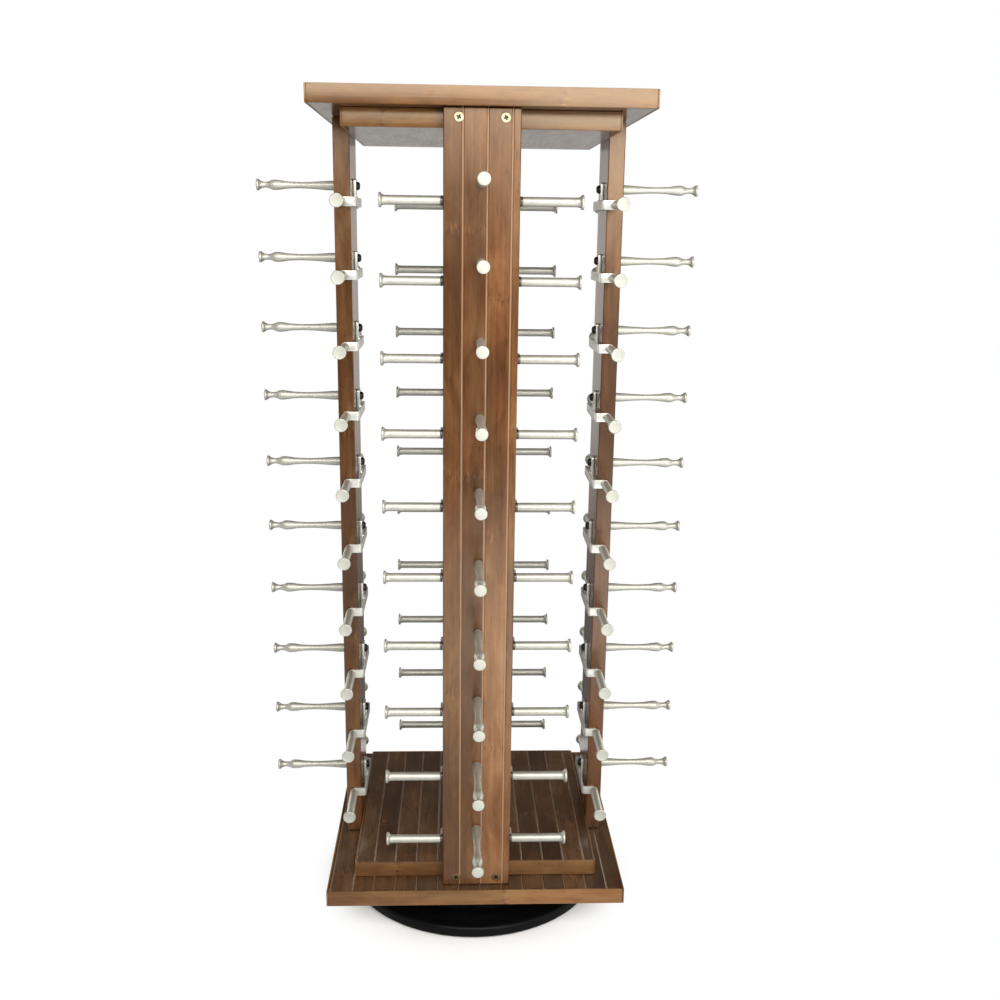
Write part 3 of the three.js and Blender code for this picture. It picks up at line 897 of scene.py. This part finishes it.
def hanger(shapes, label, turn, z, column_mid):
    """The eight pieces of one hanger, its nose peg at height z. column_mid is
    half way through the column's thickness."""
    def put(title, suffix="", at=(0, 0, z), spin=0):
        piece = new_object(f"{title}_{label}{suffix}", shapes[title].data)
        return place(piece, "stand", turn, at, spin)

    peg = put("nose_peg")
    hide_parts(f"hanger_{label}")
    pieces = [peg, put("strap", at=(0, 0, z - SIDE_DROP))]
    for suffix, spin in (("_a", 0), ("_b", 180)):
        pieces.append(put("side_peg", suffix, (0, column_mid, z - SIDE_DROP), spin))
    pieces += [put(title) for title in ("tab", "weld", "button_head", "stud")]


def hangers():
    shapes = hanger_shapes()
    low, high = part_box("column_back")
    column_mid = (low.y + high.y) / 2
    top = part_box("hanger_back_01")[1].z
    pitch = (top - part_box(f"hanger_back_{LEVELS}")[1].z) / (LEVELS - 1)
    for side, turn in SIDES.items():
        for i in range(LEVELS):
            hanger(shapes, f"{side}_{i + 1:02d}", turn, top - TAB_TOP - i * pitch, column_mid)
    for shape in shapes.values():
        bpy.data.objects.remove(shape)


# ---------------------------------------------------------------- turntable
def moulding(name, outline, material):
    """A closed [height, radius] outline turned into a ring-shaped solid."""
    bm = bmesh.new()
    turned(bm, outline, 128, "z")
    bmesh.ops.remove_doubles(bm, verts=bm.verts, dist=1e-6)
    return mesh_object(name, bm, [material], 32)


def turntable_base():
    """Fixed dish: rolled rim, raised floor, race seat and a boss for the bolt."""
    low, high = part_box("turntable_base")
    under = low.z
    radius = high.x
    web = RECESS_Z + WALL
    outline = [
        (under, POCKET_R), (under, HUB_R + WALL), (RECESS_Z, HUB_R + 2 * WALL),
        (RECESS_Z, LAND_IN - 2 * MM), (under, LAND_IN),
        (under, radius - 2.2 * MM), (under + 0.6 * MM, radius - 0.8 * MM),
        (under + 1.8 * MM, radius), (RIM_Z - 4.2 * MM, radius - 0.1 * MM),
        (RIM_Z - 2.4 * MM, radius - 0.6 * MM), (RIM_Z - 1.0 * MM, radius - 1.7 * MM),
        (RIM_Z - 0.2 * MM, radius - 3.3 * MM), (RIM_Z, radius - 5 * MM),
        (RIM_Z - 0.05 * MM, radius - 7 * MM), (RIM_Z + 1.3 * MM, radius - 13 * MM),
        (FLOOR_Z - 0.6 * MM, radius - 18 * MM), (FLOOR_Z, radius - 23 * MM),
        (FLOOR_Z, SEAT_OUT + 1 * MM), (SEAT_Z, SEAT_OUT), (SEAT_Z, SEAT_IN), (web, SEAT_IN - 2 * MM),
        (web, HUB_R + 1 * MM), (HUB_Z, HUB_R), (HUB_Z, BORE_R), (POCKET_Z, BORE_R),
        (POCKET_Z, POCKET_R), (under, POCKET_R),
    ]
    base = moulding("turntable_base_moulding", outline, moulded_black("base_plastic", 0.22))
    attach(base, "base")
    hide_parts("turntable_base")


def turntable_dish():
    """Turning dish: skirt, race seat, boss and a pocket for the pivot nut."""
    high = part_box("turntable_dish")[1]
    radius = high.x
    top = high.z
    ceiling = top - WALL
    outline = [
        (DISH_HUB_Z, DISH_BORE_R), (DISH_HUB_Z, HUB_R), (ceiling, HUB_R + 1 * MM),
        (ceiling, SEAT_IN - 2 * MM), (DISH_SEAT_Z, SEAT_IN), (DISH_SEAT_Z, SEAT_OUT),
        (ceiling, SEAT_OUT + 2 * MM), (ceiling, radius - WALL),
        (SKIRT_Z + 0.6 * MM, radius - WALL), (SKIRT_Z, radius - WALL + 0.8 * MM),
        (SKIRT_Z, radius - 1.2 * MM), (SKIRT_Z + 0.4 * MM, radius - 0.3 * MM),
        (SKIRT_Z + 1.2 * MM, radius), (top - 2 * MM, radius),
        (top - 0.6 * MM, radius - 0.5 * MM), (top, radius - 1.6 * MM), (top, NUT_POCKET_R),
        (DISH_WEB_Z, NUT_POCKET_R), (DISH_WEB_Z, DISH_BORE_R), (DISH_HUB_Z, DISH_BORE_R),
    ]
    dish = moulding("turntable_dish_moulding", outline, moulded_black("dish_plastic", 0.12))
    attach(dish, "stand")
    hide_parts("turntable_dish")


def rubber_feet():
    """Round feet, each with a hollow and a ring groove in its underside."""
    foot_rubber = rubber("foot_rubber")
    groove_d = 0.4 * MM
    for i in range(FEET):
        node = f"rubber_foot_{i + 1}"
        low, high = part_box(node)
        middle = (low + high) / 2
        reach = (high.x - low.x) / 2 * FOOT_FIT
        outline = [
            (0.5 * MM, 0), (0.5 * MM, reach * 0.25), (0, reach * 0.34), (0, reach * 0.55),
            (groove_d, reach * 0.62), (groove_d, reach * 0.70), (0, reach * 0.78),
            (0, reach - 0.6 * MM), (0.5 * MM, reach), (high.z, reach), (high.z, 0),
        ]
        bm = bmesh.new()
        turned(bm, outline, 40, "z")
        piece = mesh_object(f"foot_{i + 1}", bm, [foot_rubber], 40)
        piece.location = (middle.x, middle.y, 0)
        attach(piece, "base")
        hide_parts(node)


def paint_inner_nodes():
    """Materials for the CAD nodes that are shown as they are."""
    steel = brushed_metal("race_steel", GROUND_STEEL, 0.30)
    zinc = brushed_metal("pivot_zinc", PIVOT_ZINC, 0.36)
    finishes = {
        "bearing_lower_race": steel, "bearing_upper_race": steel, "bearing_ball_cage": steel,
        "pivot_bolt": zinc, "pivot_nut": zinc,
    }
    for node, material in finishes.items():
        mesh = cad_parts[node].data
        mesh.materials.clear()
        mesh.materials.append(material)


# -------------------------------------------------------------------- stage
def seamless_floor():
    """Pale paper that fades into the white backdrop away from the stand, with a painted glow in front and
    to the right that lights the stand.
    """
    s = Shader("paper_floor")
    place_at = s.node("TexCoord").outputs["Object"]
    tone = s.noise(place_at, 3.0, 3.0, 0.5)
    colour = s.ramp(tone, [(0.3, (0.90, 0.90, 0.90)), (0.7, (0.93, 0.93, 0.93))])
    s.set(Base_Color=colour, Roughness=0.9, Specular_IOR_Level=0.1)
    distance = s.node("VectorMath", operation="LENGTH")
    s.link(place_at, distance.inputs[0])
    bare = s.remap(distance.outputs["Value"], *FLOOR_FADE)
    split = s.node("SeparateXYZ")
    s.link(place_at, split.inputs[0])
    glow = s.node("Emission")
    glow.inputs["Color"].default_value = (1.0, 1.0, 1.0, 1.0)
    # Painted glow: the paper in front and to the right shines brighter than white, lighting the stand from
    # below.
    ahead = s.remap(split.outputs[1], *POOL_Y, 1.0, 0.0)
    glow_pool = s.math("MULTIPLY", ahead, s.remap(split.outputs[0], *POOL_X))
    s.link(s.math("ADD", s.math("MULTIPLY", glow_pool, FLOOR_GLOW), 1.0), glow.inputs["Strength"])
    blend = s.node("MixShader")
    s.link(bare, blend.inputs[0])
    s.link(s.surface.outputs[0], blend.inputs[1])
    s.link(glow.outputs[0], blend.inputs[2])
    s.link(blend.outputs[0], s.tree.nodes["Material Output"].inputs["Surface"])
    bm = bmesh.new()
    corners = [(-FLOOR_HALF, FLOOR_FRONT), (FLOOR_HALF, FLOOR_FRONT),
               (FLOOR_HALF, FLOOR_BACK), (-FLOOR_HALF, FLOOR_BACK)]
    bm.faces.new([bm.verts.new((x, y, 0)) for x, y in corners])
    mesh_object("floor", bm, [s.material])


def backdrop():
    """Plain white to the camera. To everything else a room that is light
    overhead and dark level with the stand, with a pale sweep behind it."""
    world = bpy.data.worlds.new("studio")
    bpy.context.scene.world = world
    world.use_nodes = True
    nodes = world.node_tree.nodes
    links = world.node_tree.links
    plain = nodes["Background"]
    plain.inputs["Color"].default_value = (1.0, 1.0, 1.0, 1)
    plain.inputs["Strength"].default_value = 1.0
    split = nodes.new("ShaderNodeSeparateXYZ")
    links.new(nodes.new("ShaderNodeTexCoord").outputs["Generated"], split.inputs[0])

    def part(axis, low, high, start, end):
        made = nodes.new("ShaderNodeMapRange")
        made.interpolation_type = "SMOOTHSTEP"
        links.new(split.outputs[axis], made.inputs["Value"])
        for title, number in zip(("From Min", "From Max", "To Min", "To Max"), (low, high, start, end)):
            made.inputs[title].default_value = number
        return made.outputs[0]

    def joined(operation, a, b):
        made = nodes.new("ShaderNodeMath")
        made.operation = operation
        links.new(a, made.inputs[0])
        links.new(b, made.inputs[1])
        return made.outputs[0]

    above = joined("MULTIPLY", part(2, 0.05, 0.60, *ROOM_LIGHT), part(1, 0.1, 0.7, 1.0, 0.4))
    level = joined("MULTIPLY", part(2, 0.0, 0.35, SWEEP_LIGHT, 0.0), part(2, -0.32, -0.12, 0.25, 1.0))
    sweep = joined("MULTIPLY", level, part(1, 0.0, 0.3, 0.0, 1.0))
    strength = joined("MAXIMUM", above, sweep)
    soft = nodes.new("ShaderNodeBackground")
    soft.inputs["Color"].default_value = ROOM_TINT
    links.new(strength, soft.inputs["Strength"])
    mixer = nodes.new("ShaderNodeMixShader")
    links.new(nodes.new("ShaderNodeLightPath").outputs["Is Camera Ray"], mixer.inputs[0])
    links.new(soft.outputs[0], mixer.inputs[1])
    links.new(plain.outputs[0], mixer.inputs[2])
    links.new(mixer.outputs[0], nodes["World Output"].inputs["Surface"])


def softboxes():
    for name, (spot, aim, wide, tall, power) in LAMPS.items():
        data = bpy.data.lights.new(name, "AREA")
        data.shape = "RECTANGLE"
        data.size = wide
        data.size_y = tall
        data.energy = power
        data.color = LAMP_TINT
        lamp = new_object(name, data)
        lamp.visible_camera = False
        lamp.location = spot
        lamp.rotation_euler = (Vector(aim) - Vector(spot)).to_track_quat("-Z", "Y").to_euler()


def camera():
    """The photograph's own camera, found from the perspective of the rack."""
    data = bpy.data.cameras.new("camera")
    data.sensor_width = SENSOR
    data.lens = LENS
    data.clip_start = 0.01
    data.clip_end = 100
    view = new_object("camera", data)
    yaw, pitch, roll = CAMERA_TURN
    turn = (Matrix.Rotation(yaw, 4, "Z") @ Matrix.Rotation(math.pi / 2 + pitch, 4, "X")
            @ Matrix.Rotation(roll, 4, "Z"))
    view.matrix_world = Matrix.Translation(CAMERA_AT) @ turn
    bpy.context.scene.camera = view


column_pieces()
for index, (board, grooved) in enumerate((("base_board", True), ("base_block", True),
                                          ("top_block", False), ("top_board", True))):
    flat_board(board, grooved, 11.0 + 3.7 * index)
screws()
hangers()
turntable_base()
turntable_dish()
rubber_feet()
paint_inner_nodes()
seamless_floor()
backdrop()
softboxes()
camera()
bpy.context.scene.view_settings.view_transform = "Standard"
bpy.context.scene.view_settings.look = "None"
